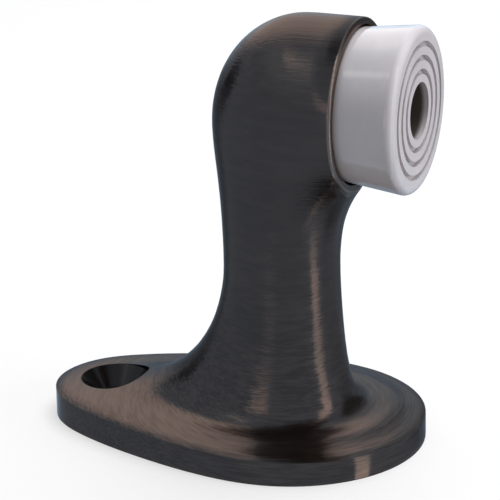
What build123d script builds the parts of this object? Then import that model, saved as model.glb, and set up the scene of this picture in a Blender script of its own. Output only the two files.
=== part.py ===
import math
import os

from build123d import *

# Gooseneck floor stop: one bronze-finished casting and one rubber bumper.
# Millimetres. Z = 0 is the floor, the origin is under the neck's axis and +X is the way the bumper faces.

# Base plate, a pear seen from above: two round ends joined by slightly bulged flanks
base_front_radius = 20.0
base_rear_radius = 10.4
base_front_centre = 1.9
base_rear_centre = -27.0
base_flank_bulge = 2.1
wall_height_front = 3.6
wall_height_rear = 4.45

# Rounded shoulder between the wall's edge and the flare
shoulder_reach = 1.5
shoulder_rise = 0.6
shoulder_bow = 0.5
shoulder_steps = 3

# Neck, at its narrowest
waist_height = 28.0
waist_depth = 18.0
waist_width = 16.4

# Flare from the top of the base wall up to the waist. Each side-view curve is pulled inward and up from the
# wall's edge, towards the foot of the neck, and then upright into the waist
rear_flare_reach = 12.0
rear_flare_rise = 0.55
rear_foot_reach = 13.0
rear_foot_height = 6.3
rear_flare_drop = 7.9
front_flare_reach = 8.1
front_flare_rise = 4.7
front_foot_reach = 11.0
front_foot_height = -3.1
front_flare_drop = 10.0
side_flare_reach = 7.1
side_flare_rise = 3.6
side_foot_reach = 10.6
side_foot_height = 0.0
side_flare_drop = 8.0

# Head, where the neck turns forward into a round barrel
head_axis_height = 54.4
head_radius = 13.1
head_back = 10.2
head_back_height = 51.0
head_crown_reach = 4.4
nape_rise = 13.0
nape_drop = 5.5
mouth_reach = 12.7
lip_radius = 0.55
throat_rise = 7.4
throat_lean = 2.2
throat_drop = 3.4

# Rubber bumper
bumper_front_radius = 12.8
bumper_rear_radius = 11.35
bumper_proud = 9.3
bumper_edge_radius = 1.2
bumper_hole_radius = 4.3
bumper_hole_depth = 10.0
groove_count = 3
groove_width = 0.8
groove_depth = 0.85
groove_pitch = 2.05
groove_outer_radius = 9.97
land_edge_radius = 0.3

# Socket in the head, and the bumper's stem
socket_depth = 2.5
socket_wall = 1.05
stem_radius = 4.5
stem_length = 9.0
stem_clearance = 0.1
stem_end_clearance = 0.5
stem_tip_chamfer = 0.8

# Countersunk screw hole through the rear of the base
screw_hole_setback = 28.4
screw_hole_radius = 2.9
countersink_radius = 5.4
countersink_angle = 82.0
countersink_height = 5.3

# How finely the casting's skin is drawn, how closely it is fitted, and how far it runs past the mouth
half_turn_steps = 20
flare_steps = 10
bend_steps = 16
skin_tolerance = 0.01
skin_low_degree = 3
skin_high_degree = 6
skin_smoothing = (1, 1, 1)
skin_overrun = 3.0


def pear_point(angle):
    """Point of the base outline whose outward normal lies at this angle from +X."""
    middle = (base_front_centre + base_rear_centre) / 2
    spread = (base_front_centre - base_rear_centre) / 2
    mean_radius = (base_front_radius + base_rear_radius) / 2
    taper = (base_front_radius - base_rear_radius) / 2
    lead = spread * math.cos(angle) + taper
    reach = math.hypot(lead, base_flank_bulge)
    support = middle * math.cos(angle) + mean_radius + reach
    swing = -middle * math.sin(angle) - spread * math.sin(angle) * lead / reach
    x = support * math.cos(angle) - swing * math.sin(angle)
    y = support * math.sin(angle) + swing * math.cos(angle)
    return x, y


base_front, _ = pear_point(0)
base_rear, _ = pear_point(math.pi)
base_widest, base_half_width = pear_point(math.pi / 2)


def unit_pear(angle):
    """The base outline with its tips brought to x = 1 and -1 and its widest points to y = 1 and -1."""
    x, y = pear_point(angle)
    span = base_front - base_widest if x > base_widest else base_widest - base_rear
    return (x - base_widest) / span, y / base_half_width


def skin_row(rear, front, widest, half_width, roundness):
    """Points round the left half of the casting, from just before the front tip to just past the rear tip.

    widest is where along the row it is widest, from 0 at the rear tip to 1 at the front tip.
    roundness 0 gives the pear of the base, 1 gives an oval.
    """
    row = []
    for step in range(-1, half_turn_steps + 2):
        angle = math.pi * step / half_turn_steps
        pear_x, pear_y = unit_pear(angle)
        x = pear_x + (math.cos(angle) - pear_x) * roundness
        y = pear_y + (math.sin(angle) - pear_y) * roundness
        room = 1 - widest if x > 0 else widest
        row.append(rear + (front - rear) * (widest + room * x) + Vector(0, half_width * y, 0))
    return row


def flare_curve(tip, tip_height, reach, rise, foot, foot_height, waist, drop):
    """Side-view curve from the shoulder, round the foot of the neck, and upright into the waist."""
    inward = math.copysign(reach, waist - tip)
    with BuildLine(Plane.XZ) as curve:
        Bezier(
            (tip, tip_height),
            (tip + inward, tip_height + rise),
            (foot, foot_height),
            (waist, waist_height - drop),
            (waist, waist_height),
        )
    return curve.line


# Side-view curves of the casting: behind and in front of the neck, and half its width
rear_flare = flare_curve(
    base_rear + shoulder_reach,
    wall_height_rear + shoulder_rise,
    rear_flare_reach,
    rear_flare_rise,
    -rear_foot_reach,
    rear_foot_height,
    -waist_depth / 2,
    rear_flare_drop,
)
front_flare = flare_curve(
    base_front - shoulder_reach,
    wall_height_front + shoulder_rise,
    front_flare_reach,
    front_flare_rise,
    front_foot_reach,
    front_foot_height,
    waist_depth / 2,
    front_flare_drop,
)
side_flare = flare_curve(
    base_half_width - shoulder_reach,
    (wall_height_front + wall_height_rear) / 2 + shoulder_rise,
    side_flare_reach,
    side_flare_rise,
    side_foot_reach,
    side_foot_height,
    waist_width / 2,
    side_flare_drop,
)

crown_height = head_axis_height + head_radius
with BuildLine(Plane.XZ) as back_curve:
    Bezier(
        (-waist_depth / 2, waist_height),
        (-waist_depth / 2, waist_height + nape_rise),
        (-head_back, head_back_height - nape_drop),
        (-head_back, head_back_height),
    )
    EllipticalCenterArc(
        (head_crown_reach, head_back_height),
        head_crown_reach + head_back,
        crown_height - head_back_height,
        start_angle=90,
        arc_size=90,
    )
    Line((head_crown_reach, crown_height), (mouth_reach, crown_height))

throat_height = head_axis_height - head_radius
with BuildLine(Plane.XZ) as throat_curve:
    Bezier(
        (waist_depth / 2, waist_height),
        (waist_depth / 2, waist_height + throat_rise),
        (mouth_reach - throat_lean, throat_height - throat_drop),
        (mouth_reach, throat_height),
    )

# Rows of the skin: from the wall's edge over the shoulder, up to the waist and round the bend to the mouth
edge_widest = (base_widest - base_rear) / (base_front - base_rear)
skin_rows = []
for step in range(shoulder_steps):
    station = step / shoulder_steps
    inset = shoulder_reach * station
    lift = shoulder_rise * station * (1 + shoulder_bow * (1 - station))
    rear_tip = Vector(base_rear + inset, 0, wall_height_rear + lift)
    front_tip = Vector(base_front - inset, 0, wall_height_front + lift)
    skin_rows.append(skin_row(rear_tip, front_tip, edge_widest, base_half_width - inset, 0))
for step in range(flare_steps):
    station = step / flare_steps
    widest = edge_widest + (0.5 - edge_widest) * station
    half_width = (side_flare @ station).X
    skin_rows.append(skin_row(rear_flare @ station, front_flare @ station, widest, half_width, station))
for step in range(bend_steps + 1):
    station = step / bend_steps
    easing = station * station * (3 - 2 * station)
    half_width = waist_width / 2 + (head_radius - waist_width / 2) * easing
    back_point = back_curve.wire() @ station
    throat_point = throat_curve.wire() @ station
    skin_rows.append(skin_row(back_point, throat_point, 0.5, half_width, 1))

# One row more at each end, outside the base and in front of the mouth, so that the skin cuts right through
outer_row = [edge * 2 - inner for edge, inner in zip(skin_rows[0], skin_rows[1])]
ahead_row = [point + Vector(skin_overrun, 0, 0) for point in skin_rows[-1]]
skin = Face.make_surface_from_array_of_points(
    [outer_row, *skin_rows, ahead_row],
    tol=skin_tolerance,
    smoothing=skin_smoothing,
    min_deg=skin_low_degree,
    max_deg=skin_high_degree,
)

head_axis = Axis((0, 0, head_axis_height), (1, 0, 0))
mouth_plane = Plane(origin=(mouth_reach, 0, head_axis_height), x_dir=(0, 1, 0), z_dir=(1, 0, 0))
socket_floor = mouth_reach - socket_depth
stem_hole_depth = stem_length + stem_end_clearance

# The casting: base wall, flared neck and head in one piece, cut as one half from a plain blank and mirrored
with BuildPart() as stop_casting:
    with BuildSketch():
        with BuildLine():
            outline_angles = [math.pi * step / half_turn_steps for step in range(2 * half_turn_steps)]
            Spline([pear_point(angle) for angle in outline_angles], periodic=True)
        make_face()
    extrude(amount=waist_height)
    with BuildSketch(Plane.XY.offset(waist_height)):
        with Locations((mouth_reach, 0)):
            Rectangle(mouth_reach - base_rear, 2 * base_half_width, align=(Align.MAX, Align.CENTER))
    extrude(amount=crown_height + skin_overrun - waist_height)
    split(bisect_by=Plane.XZ, keep=Keep.BOTTOM)
    split(bisect_by=skin, keep=Keep.TOP)
    mirror(about=Plane.XZ)
    mouth_face = stop_casting.faces().filter_by(Plane.YZ)[0]
    fillet(mouth_face.edges(), lip_radius)
    with BuildSketch(mouth_plane):
        Circle(head_radius - socket_wall)
    extrude(amount=-socket_depth, mode=Mode.SUBTRACT)
    with BuildSketch(mouth_plane.offset(-socket_depth)):
        Circle(stem_radius + stem_clearance)
    extrude(amount=-stem_hole_depth, mode=Mode.SUBTRACT)
    with Locations(Location((-screw_hole_setback, 0, countersink_height), (0, 0, 90))):
        CounterSinkHole(screw_hole_radius, countersink_radius, counter_sink_angle=countersink_angle)
stop_casting.part.label = "stop_casting"

# The bumper: a tapered rubber disc with ring grooves round a blind hole, and a stem pushed into the head
bumper_face = mouth_reach + bumper_proud
with BuildPart() as rubber_bumper:
    with BuildSketch(Plane.XZ) as bumper_profile:
        with BuildLine():
            Polyline(
                (socket_floor - stem_length, head_axis_height),
                (socket_floor - stem_length, head_axis_height + stem_radius),
                (socket_floor, head_axis_height + stem_radius),
                (socket_floor, head_axis_height + bumper_rear_radius),
                (bumper_face, head_axis_height + bumper_front_radius),
                (bumper_face, head_axis_height),
                close=True,
            )
        make_face()
        stem_tip = bumper_profile.vertices().group_by(Axis.X)[0].sort_by(Axis.Y)[-1]
        chamfer(stem_tip, stem_tip_chamfer)
        with Locations((bumper_face, head_axis_height)):
            from_face = (Align.MAX, Align.MIN)
            Rectangle(bumper_hole_depth, bumper_hole_radius, align=from_face, mode=Mode.SUBTRACT)
        for ring in range(groove_count):
            groove_radius = groove_outer_radius - ring * groove_pitch
            with Locations((bumper_face, head_axis_height + groove_radius)):
                Rectangle(groove_depth, groove_width, align=(Align.MAX, Align.CENTER), mode=Mode.SUBTRACT)
        face_corners = bumper_profile.vertices().group_by(Axis.X)[-1].sort_by(Axis.Y)
        fillet(face_corners[-1], bumper_edge_radius)
        fillet(face_corners[:-1], land_edge_radius)
    revolve(axis=head_axis)
rubber_bumper.part.label = "rubber_bumper"

os.makedirs("parts", exist_ok=True)
export_step(stop_casting.part, "parts/stop_casting.step")
export_step(rubber_bumper.part, "parts/rubber_bumper.step")
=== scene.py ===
import math

import bmesh
import bpy
from mathutils import Matrix, Vector


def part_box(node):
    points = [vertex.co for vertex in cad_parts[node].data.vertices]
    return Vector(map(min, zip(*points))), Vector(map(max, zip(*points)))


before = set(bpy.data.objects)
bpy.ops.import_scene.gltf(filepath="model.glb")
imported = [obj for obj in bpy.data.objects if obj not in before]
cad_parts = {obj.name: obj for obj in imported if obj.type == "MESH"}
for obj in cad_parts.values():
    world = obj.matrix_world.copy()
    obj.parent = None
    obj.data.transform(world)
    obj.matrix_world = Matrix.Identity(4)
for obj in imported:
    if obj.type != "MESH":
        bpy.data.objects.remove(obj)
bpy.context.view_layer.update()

# The casting: base plate, flared neck and barrel head in one piece of brass, brushed round the upright axis
# and along the barrel, then chemically darkened to oil-rubbed bronze. The lip round the mouth and the
# countersink were turned on a lathe and stay smoother. One screw holds the casting to the floor.
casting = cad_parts["stop_casting"]
bumper_low, bumper_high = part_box("rubber_bumper")
mouth_centre = (0, 0, (bumper_low[2] + bumper_high[2]) / 2)
hole_setback = 0.0284
countersink_edge = (0.0054, 0.0055)
lip_depth = (0.0121, 0.01225)
head_height = (0.034, 0.038)
barrel_height = (0.040, 0.052)
bronze_light = (0.088, 0.062, 0.0515, 1)
bronze_dark = (0.056, 0.0405, 0.034, 1)
bronze_wear_and_highlight = (0.17, 0.123, 0.1, 1)
sink_painted_shade = (0.034, 0.025, 0.021, 1)
rise, fall = (0.0, 1.0), (1.0, 0.0)


def add_node(tree, kind, feeds, **settings):
    """Adds a shader node, with each named input linked from a socket or set to a plain value."""
    node = tree.nodes.new(kind)
    for name, value in settings.items():
        setattr(node, name, value)
    for name, feed in feeds.items():
        if isinstance(feed, bpy.types.NodeSocket):
            tree.links.new(feed, node.inputs[name])
        else:
            node.inputs[name].default_value = feed
    return node.outputs


def ease(tree, value, span, ends):
    """Smooth change over a span of the value, from the first end to the second."""
    feeds = {"Value": value, "From Min": span[0], "From Max": span[1], "To Min": ends[0], "To Max": ends[1]}
    return add_node(tree, "ShaderNodeMapRange", feeds, interpolation_type="SMOOTHSTEP")["Result"]


def math_op(tree, operation, first, second):
    return add_node(tree, "ShaderNodeMath", {0: first, 1: second}, operation=operation)["Value"]


def vector_op(tree, operation, first, second):
    return add_node(tree, "ShaderNodeVectorMath", {0: first, 1: second}, operation=operation)["Vector"]


def scaled(tree, vector, factor):
    return add_node(tree, "ShaderNodeVectorMath", {0: vector, "Scale": factor}, operation="SCALE")["Vector"]


def direction_of(tree, vector):
    return add_node(tree, "ShaderNodeVectorMath", {0: vector}, operation="NORMALIZE")["Vector"]


def length_of(tree, vector):
    return add_node(tree, "ShaderNodeVectorMath", {0: vector}, operation="LENGTH")["Value"]


def mix(tree, kind, share, first, second):
    feeds = {"Factor": share, "A": first, "B": second}
    return add_node(tree, "ShaderNodeMix", feeds, data_type=kind)["Result"]


def new_material(name):
    material = bpy.data.materials.new(name)
    material.use_nodes = True
    return material, material.node_tree, material.node_tree.nodes["Principled BSDF"]


bronze, tree, shader = new_material("oil_rubbed_bronze")
shader.inputs["Metallic"].default_value = 0.9
shader.inputs["Anisotropic"].default_value = 0.9
shader.inputs["Specular Tint"].default_value = (0.66, 0.615, 0.595, 1)

place = add_node(tree, "ShaderNodeTexCoord", {})["Object"]
axes = add_node(tree, "ShaderNodeSeparateXYZ", {0: place})
from_hole = vector_op(tree, "ADD", place, (hole_setback, 0, 0))
from_hole = vector_op(tree, "MULTIPLY", from_hole, (1, 1, 0))
in_sink = ease(tree, length_of(tree, from_hole), countersink_edge, fall)
on_lip = ease(tree, axes["X"], lip_depth, rise)
on_head = ease(tree, axes["Z"], head_height, rise)
on_mouth = math_op(tree, "MULTIPLY", on_lip, on_head)
turned = math_op(tree, "MAXIMUM", on_mouth, in_sink)

# Strokes run level round the neck, the base and the countersink, straight along the barrel, and round the lip
off_barrel = ease(tree, axes["Z"], barrel_height, fall)
stroke_x = math_op(tree, "MULTIPLY", math_op(tree, "MAXIMUM", axes["X"], 0.0), off_barrel)
stroke_x = math_op(tree, "ADD", stroke_x, math_op(tree, "MINIMUM", axes["X"], 0.0))
level = add_node(tree, "ShaderNodeCombineXYZ", {"X": stroke_x, "Y": axes["Y"]})["Vector"]
level = mix(tree, "VECTOR", in_sink, level, from_hole)
radius = length_of(tree, level)
bearing = direction_of(tree, level)
stroke = vector_op(tree, "CROSS_PRODUCT", (0, 0, 1), bearing)
round_mouth = vector_op(tree, "SUBTRACT", place, mouth_centre)
round_mouth = direction_of(tree, vector_op(tree, "CROSS_PRODUCT", (1, 0, 0), round_mouth))
stroke = mix(tree, "VECTOR", on_mouth, stroke, round_mouth)


def brush_lines(turn_scale, line_scale, detail):
    """Noise drawn out along the brush strokes."""
    height = math_op(tree, "MULTIPLY", axes["Z"], line_scale)
    height = add_node(tree, "ShaderNodeCombineXYZ", {"Z": height})["Vector"]
    where = vector_op(tree, "ADD", scaled(tree, bearing, turn_scale), height)
    outward = math_op(tree, "MULTIPLY", radius, line_scale)
    feeds = {"Vector": where, "W": outward, "Scale": 1.0, "Detail": detail}
    return add_node(tree, "ShaderNodeTexNoise", feeds, noise_dimensions="4D")["Fac"]


# The dark finish is cloudy, with the brush lines strongest on the base and calmer up the neck and head
fine_lines = brush_lines(turn_scale=4.0, line_scale=3300.0, detail=2.0)
broad_lines = brush_lines(turn_scale=2.0, line_scale=900.0, detail=3.0)
patina = add_node(tree, "ShaderNodeTexNoise", {"Vector": place, "Scale": 70.0, "Detail": 3.0})["Fac"]
broad_share = 0.6
fine_height, fine_share = (0.008, 0.03), (0.6, 0.22)
tone_span = (0.35, 0.65)
calm_height, calm_share, middle_tone = (0.01, 0.035), (0.0, 0.5), 0.5
tone = mix(tree, "FLOAT", broad_share, patina, broad_lines)
tone = mix(tree, "FLOAT", ease(tree, axes["Z"], fine_height, fine_share), tone, fine_lines)
tone = ease(tree, tone, tone_span, rise)
tone = mix(tree, "FLOAT", ease(tree, axes["Z"], calm_height, calm_share), tone, middle_tone)
colour = mix(tree, "RGBA", tone, bronze_dark, bronze_light)
# The lip is a lighter bronze: partly edge wear, partly a painted highlight.
colour = mix(tree, "RGBA", on_mouth, colour, bronze_wear_and_highlight)
# The countersink is darkened with painted shade.
colour = mix(tree, "RGBA", in_sink, colour, sink_painted_shade)
tree.links.new(colour, shader.inputs["Base Color"])
line_span, brushed_roughness, turned_roughness = (0.3, 0.7), (0.17, 0.23), 0.2
roughness = ease(tree, broad_lines, line_span, brushed_roughness)
roughness = mix(tree, "FLOAT", turned, roughness, turned_roughness)
tree.links.new(roughness, shader.inputs["Roughness"])

# Each stroke is tilted a little along its own length, which breaks up the edges of the reflections
middle_line, lean_share, scratch_depth = 0.5, 0.1, 0.00005
scratches = mix(tree, "FLOAT", turned, fine_lines, middle_line)
lean = scaled(tree, stroke, math_op(tree, "SUBTRACT", scratches, middle_line))
lean = scaled(tree, lean, lean_share)
facing = add_node(tree, "ShaderNodeNewGeometry", {})["Normal"]
across = vector_op(tree, "CROSS_PRODUCT", stroke, facing)
facing = vector_op(tree, "ADD", facing, lean)

# The foot of the flare shades as a wider sweep, and the upper end of the barrel as if it curled in to the lip
foot_inside, foot_outside = (0.0095, 0.0135), (0.015, 0.0195)
foot_height, foot_tilt = (0.012, 0.02), 0.12
crown_height, barrel_end, curl_tilt = (0.0565, 0.0605), (0.0085, 0.0119), 0.4
foot = ease(tree, radius, foot_inside, rise)
foot = math_op(tree, "MULTIPLY", foot, ease(tree, radius, foot_outside, fall))
foot = math_op(tree, "MULTIPLY", foot, ease(tree, axes["Z"], foot_height, (foot_tilt, 0.0)))
facing = vector_op(tree, "ADD", facing, scaled(tree, bearing, foot))
on_crown = ease(tree, axes["Z"], crown_height, rise)
curl = math_op(tree, "MULTIPLY", ease(tree, axes["X"], barrel_end, (0.0, curl_tilt)), on_crown)
curl = add_node(tree, "ShaderNodeCombineXYZ", {"X": curl})["Vector"]
facing = direction_of(tree, vector_op(tree, "ADD", facing, curl))
feeds = {"Strength": 1.0, "Distance": scratch_depth, "Height": scratches, "Normal": facing}
grain = add_node(tree, "ShaderNodeBump", feeds)["Normal"]
tree.links.new(grain, shader.inputs["Normal"])
tree.links.new(across, shader.inputs["Tangent"])
casting.data.materials.clear()
casting.data.materials.append(bronze)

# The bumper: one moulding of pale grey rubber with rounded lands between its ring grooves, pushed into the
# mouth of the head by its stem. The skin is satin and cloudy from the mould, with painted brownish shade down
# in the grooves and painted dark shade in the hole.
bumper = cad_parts["rubber_bumper"]
bumper_face = bumper_high[0]
groove_depth = (bumper_face - 0.0014, bumper_face - 0.0004)
rings_edge = (0.0101, 0.0104)
hole_edge = (0.0044, 0.0046)
ripples_per_metre, ripple_depth = 700.0, 0.00004
cloud_span = (0.3, 0.7)
rubber_light = (0.655, 0.62, 0.64, 1)
rubber_dark = (0.605, 0.57, 0.592, 1)
groove_painted_shade = (0.36, 0.31, 0.285, 1)
hole_painted_shade = (0.09, 0.078, 0.066, 1)
rubber, tree, shader = new_material("pale_grey_rubber")
shader.inputs["Roughness"].default_value = 0.13
shader.inputs["IOR"].default_value = 1.5
place = add_node(tree, "ShaderNodeTexCoord", {})["Object"]
axes = add_node(tree, "ShaderNodeSeparateXYZ", {0: place})
cloud = add_node(tree, "ShaderNodeTexNoise", {"Vector": place, "Scale": 160.0, "Detail": 4.0})["Fac"]
skin = mix(tree, "RGBA", ease(tree, cloud, cloud_span, rise), rubber_dark, rubber_light)
from_axis = vector_op(tree, "SUBTRACT", place, mouth_centre)
from_axis = length_of(tree, vector_op(tree, "MULTIPLY", from_axis, (0, 1, 1)))
below_face = ease(tree, axes["X"], groove_depth, fall)
# Painted brownish shade down in the ring grooves.
groove_shade_mask = math_op(tree, "MULTIPLY", below_face, ease(tree, from_axis, rings_edge, fall))
skin = mix(tree, "RGBA", groove_shade_mask, skin, groove_painted_shade)
# Painted dark shade down in the hole.
hole_shade_mask = math_op(tree, "MULTIPLY", ease(tree, from_axis, hole_edge, fall), below_face)
skin = mix(tree, "RGBA", hole_shade_mask, skin, hole_painted_shade)
tree.links.new(skin, shader.inputs["Base Color"])
feeds = {"W": math_op(tree, "MULTIPLY", axes["X"], ripples_per_metre), "Scale": 1.0, "Detail": 1.0}
ripple = add_node(tree, "ShaderNodeTexNoise", feeds, noise_dimensions="1D")["Fac"]
feeds = {"Strength": 1.0, "Distance": ripple_depth, "Height": ripple}
ripple = add_node(tree, "ShaderNodeBump", feeds)["Normal"]
tree.links.new(ripple, shader.inputs["Normal"])
bumper.data.materials.clear()
bumper.data.materials.append(rubber)

# The studio floor: plain white paper under the stop. The camera sees it white, with the stop's soft shadow,
# and it throws only a little light back up.
floor_size = 3.0
paper_white = (0.93, 0.93, 0.93, 1)
paper_bounce = (0.36, 0.36, 0.36, 1)
paper_glow = 0.6


def add_object(name, data):
    added = bpy.data.objects.new(name, data)
    bpy.context.scene.collection.objects.link(added)
    return added


def empty_material(name):
    material = bpy.data.materials.new(name)
    material.use_nodes = True
    material.node_tree.nodes.clear()
    return material, material.node_tree


def seen_straight(tree):
    """1 for rays from the camera, off gloss and through glass, and 0 for the rays of diffuse light."""
    rays = add_node(tree, "ShaderNodeLightPath", {})
    seen = math_op(tree, "MAXIMUM", rays["Is Camera Ray"], rays["Is Glossy Ray"])
    return math_op(tree, "MAXIMUM", seen, rays["Is Transmission Ray"])


floor_mesh = bpy.data.meshes.new("floor")
sheet = bmesh.new()
bmesh.ops.create_grid(sheet, x_segments=1, y_segments=1, size=floor_size)
sheet.to_mesh(floor_mesh)
sheet.free()
floor = add_object("floor", floor_mesh)
paper, tree = empty_material("studio_paper")
seen = seen_straight(tree)
glow = add_node(tree, "ShaderNodeEmission", {"Color": (1, 1, 1, 1)})["Emission"]
white = add_node(tree, "ShaderNodeBsdfDiffuse", {"Color": paper_white})["BSDF"]
backdrop = add_node(tree, "ShaderNodeMixShader", {"Fac": paper_glow, 1: white, 2: glow})["Shader"]
grey = add_node(tree, "ShaderNodeBsdfDiffuse", {"Color": paper_bounce})["BSDF"]
choice = add_node(tree, "ShaderNodeMixShader", {"Fac": seen, 1: grey, 2: backdrop})["Shader"]
add_node(tree, "ShaderNodeOutputMaterial", {"Surface": choice})
floor_mesh.materials.append(paper)

# A cloth tent round the stop, with a floor of its own, which only the stop's reflections show. It is dim and
# cool, dark overhead and at both sides of the bright cloth behind the stop, with a tall slit in front of the
# bumper, a small window left of the camera and one bare lamp high at the left.
tent_radius, tent_floor = 0.3, 0.0001
tent_centre = (0, 0, 0.03)
cloth_height, cloth_shades = (0.5, 0.9), (0.37, 0.32)
cloth_tints = ((0.37, (0.235, 0.335, 0.45, 1)), (0.62, (0.47, 0.63, 0.75, 1)))
darkest_tint, brightest_tint = (0.03, 0.045, 0.06, 1), (0.97, 0.97, 0.99, 1)
slit_start, slit_bearing, slit_spread = (0.0105, -0.0123, 0), -6.0, (6, 10)
slit_top, slit_near = (0.8, 0.9), (0.013, 0.018)
slit_far, slit_reach = (0.025, 0.08), (0.3, 1.0)
ground_bearing, ground_spread, ground_height, ground_shade = 116, (40, 60), (0.02, 0.14), 0.12
away_from_camera = (-0.375, 0.927, 0)
beside_depth, beside_reach, beside_front = (-0.012, -0.003), (0.045, 0.06), (0.004, 0.012)
lamp_panel = (-139, 56, 2, 6)
cloth_glow, lamp_extra, slit_extra = 2.0, 1.1, 0.8
# Azimuth, elevation, inner and outer angle in degrees, and shade
cloth_panels = (
    (55, 17, 22, 38, 0.0),
    (170, 8, 7, 15, 0.0),
    (116, 39, 30, 47, 0.5),
    (124, 41, 22, 31, 1.0),
    (-5, 72, 8, 20, 0.0),
    (-138, 48, 8, 26, 0.47),
    (-98, 9, 9, 12, 1.0),
)
tent_mesh = bpy.data.meshes.new("tent")
cloth = bmesh.new()
bmesh.ops.create_uvsphere(cloth, u_segments=64, v_segments=32, radius=tent_radius)
everything = list(cloth.verts) + list(cloth.edges) + list(cloth.faces)
bmesh.ops.bisect_plane(
    cloth, geom=everything, plane_co=(0, 0, tent_floor), plane_no=(0, 0, 1), clear_inner=True
)
bmesh.ops.contextual_create(cloth, geom=[edge for edge in cloth.edges if edge.is_boundary])
cloth.to_mesh(tent_mesh)
cloth.free()
tent = add_object("tent", tent_mesh)
tent.visible_camera = False
tent.visible_diffuse = False
tent.visible_shadow = False
tent.visible_transmission = False
tent_cloth, tree = empty_material("tent_cloth")
tent_cloth.cycles.emission_sampling = "NONE"
place = add_node(tree, "ShaderNodeTexCoord", {})["Object"]
place_x = add_node(tree, "ShaderNodeSeparateXYZ", {0: place})["X"]
aim = direction_of(tree, vector_op(tree, "SUBTRACT", place, tent_centre))
aim_height = add_node(tree, "ShaderNodeSeparateXYZ", {0: aim})["Z"]


def dot_product(tree, first, second):
    return add_node(tree, "ShaderNodeVectorMath", {0: first, 1: second}, operation="DOT_PRODUCT")["Value"]


def panel(aim, azimuth, elevation, inner, outer):
    """Round panel of the tent, in degrees: 1 inside the inner angle, fading to 0 at the outer one."""
    around, above = math.radians(azimuth), math.radians(elevation)
    middle = (math.cos(above) * math.cos(around), math.cos(above) * math.sin(around), math.sin(above))
    edge = (math.cos(math.radians(outer)), math.cos(math.radians(inner)))
    return ease(tree, dot_product(tree, aim, middle), edge, rise)


from_slit = vector_op(tree, "MULTIPLY", vector_op(tree, "SUBTRACT", place, slit_start), (1, 1, 0))
reach = length_of(tree, from_slit)
near_end = ease(tree, reach, slit_near, fall)
reach = math_op(tree, "MAXIMUM", ease(tree, reach, slit_far, slit_reach), near_end)
slit = panel(direction_of(tree, from_slit), slit_bearing, 0, *slit_spread)
slit = math_op(tree, "MULTIPLY", slit, ease(tree, aim_height, slit_top, fall))
slit = math_op(tree, "MULTIPLY", slit, reach)

# The ground is dark behind the stop and close beside its base
level_aim = direction_of(tree, vector_op(tree, "MULTIPLY", place, (1, 1, 0)))
behind = panel(level_aim, ground_bearing, 0, *ground_spread)
behind = math_op(tree, "MULTIPLY", behind, ease(tree, aim_height, ground_height, fall))
depth = dot_product(tree, place, away_from_camera)
beside = ease(tree, length_of(tree, place), beside_reach, fall)
beside = math_op(tree, "MULTIPLY", ease(tree, depth, beside_depth, rise), beside)
beside = math_op(tree, "MULTIPLY", beside, ease(tree, place_x, beside_front, rise))
dark_ground = math_op(tree, "MAXIMUM", behind, beside)

lamp = panel(aim, *lamp_panel)
shade = ease(tree, aim_height, cloth_height, cloth_shades)
shade = mix(tree, "FLOAT", dark_ground, shade, ground_shade)
for azimuth, elevation, inner, outer, panel_shade in cloth_panels:
    shade = mix(tree, "FLOAT", panel(aim, azimuth, elevation, inner, outer), shade, panel_shade)
shade = mix(tree, "FLOAT", slit, shade, 1.0)
shade = mix(tree, "FLOAT", lamp, shade, 1.0)
ramp = tree.nodes.new("ShaderNodeValToRGB")
ramp.color_ramp.elements[0].color = darkest_tint
ramp.color_ramp.elements[1].color = brightest_tint
for position, tint in cloth_tints:
    ramp.color_ramp.elements.new(position).color = tint
tree.links.new(shade, ramp.inputs["Fac"])
strength = math_op(tree, "ADD", cloth_glow, math_op(tree, "MULTIPLY", lamp, lamp_extra))
strength = math_op(tree, "ADD", strength, math_op(tree, "MULTIPLY", slit, slit_extra))
feeds = {"Color": ramp.outputs["Color"], "Strength": strength}
glow = add_node(tree, "ShaderNodeEmission", feeds)["Emission"]
add_node(tree, "ShaderNodeOutputMaterial", {"Surface": glow})
tent_mesh.materials.append(tent_cloth)

# Soft light: an evenly lit white room, one large lamp over the stop and one in front of the bumper.
room_light, room_white = (0.4, 0.4, 0.41, 1), (1, 1, 1, 1)
stop_middle = (0, 0, 0.03)
world = bpy.data.worlds.new("studio")
bpy.context.scene.world = world
world.use_nodes = True
tree = world.node_tree
tree.nodes.clear()
wall = mix(tree, "RGBA", seen_straight(tree), room_light, room_white)
sky = add_node(tree, "ShaderNodeBackground", {"Color": wall})["Background"]
add_node(tree, "ShaderNodeOutputWorld", {"Surface": sky})


def softbox(name, direction, distance, side, radiance):
    """A square lamp that looks at the middle of the stop, with the stated brightness of its surface."""
    lamp = bpy.data.lights.new(name, "AREA")
    lamp.shape = "RECTANGLE"
    lamp.size = side
    lamp.size_y = side
    lamp.energy = radiance * math.pi * side * side
    holder = add_object(name, lamp)
    away = Vector(direction).normalized()
    turn = away.to_track_quat("Z", "Y").to_matrix().to_4x4()
    holder.matrix_world = Matrix.Translation(Vector(stop_middle) + away * distance) @ turn
    holder.visible_camera = False
    holder.visible_glossy = False


softbox("top_softbox", direction=(0.15, 0.3, 0.94), distance=0.7, side=0.5, radiance=5.0)
softbox("front_softbox", direction=(0.97, 0.1, 0.15), distance=0.7, side=0.4, radiance=5.8)

# The camera, fitted to the photograph's outline: a long lens half a metre away.
camera_distance = 0.5
looked_at = Vector((-0.0052, 0, 0.02934))
right = Vector((0.93195, 0.36220, -0.01652)).normalized()
back = Vector((0.34493, -0.87164, 0.34824)).normalized()
up = back.cross(right)
lens = bpy.data.cameras.new("camera")
lens.sensor_width = 36.0
lens.lens = 235.82
camera = add_object("camera", lens)
turn = Matrix((right, up, back)).transposed().to_4x4()
camera.matrix_world = Matrix.Translation(looked_at + back * camera_distance) @ turn
bpy.context.scene.camera = camera
bpy.context.scene.view_settings.view_transform = "Standard"
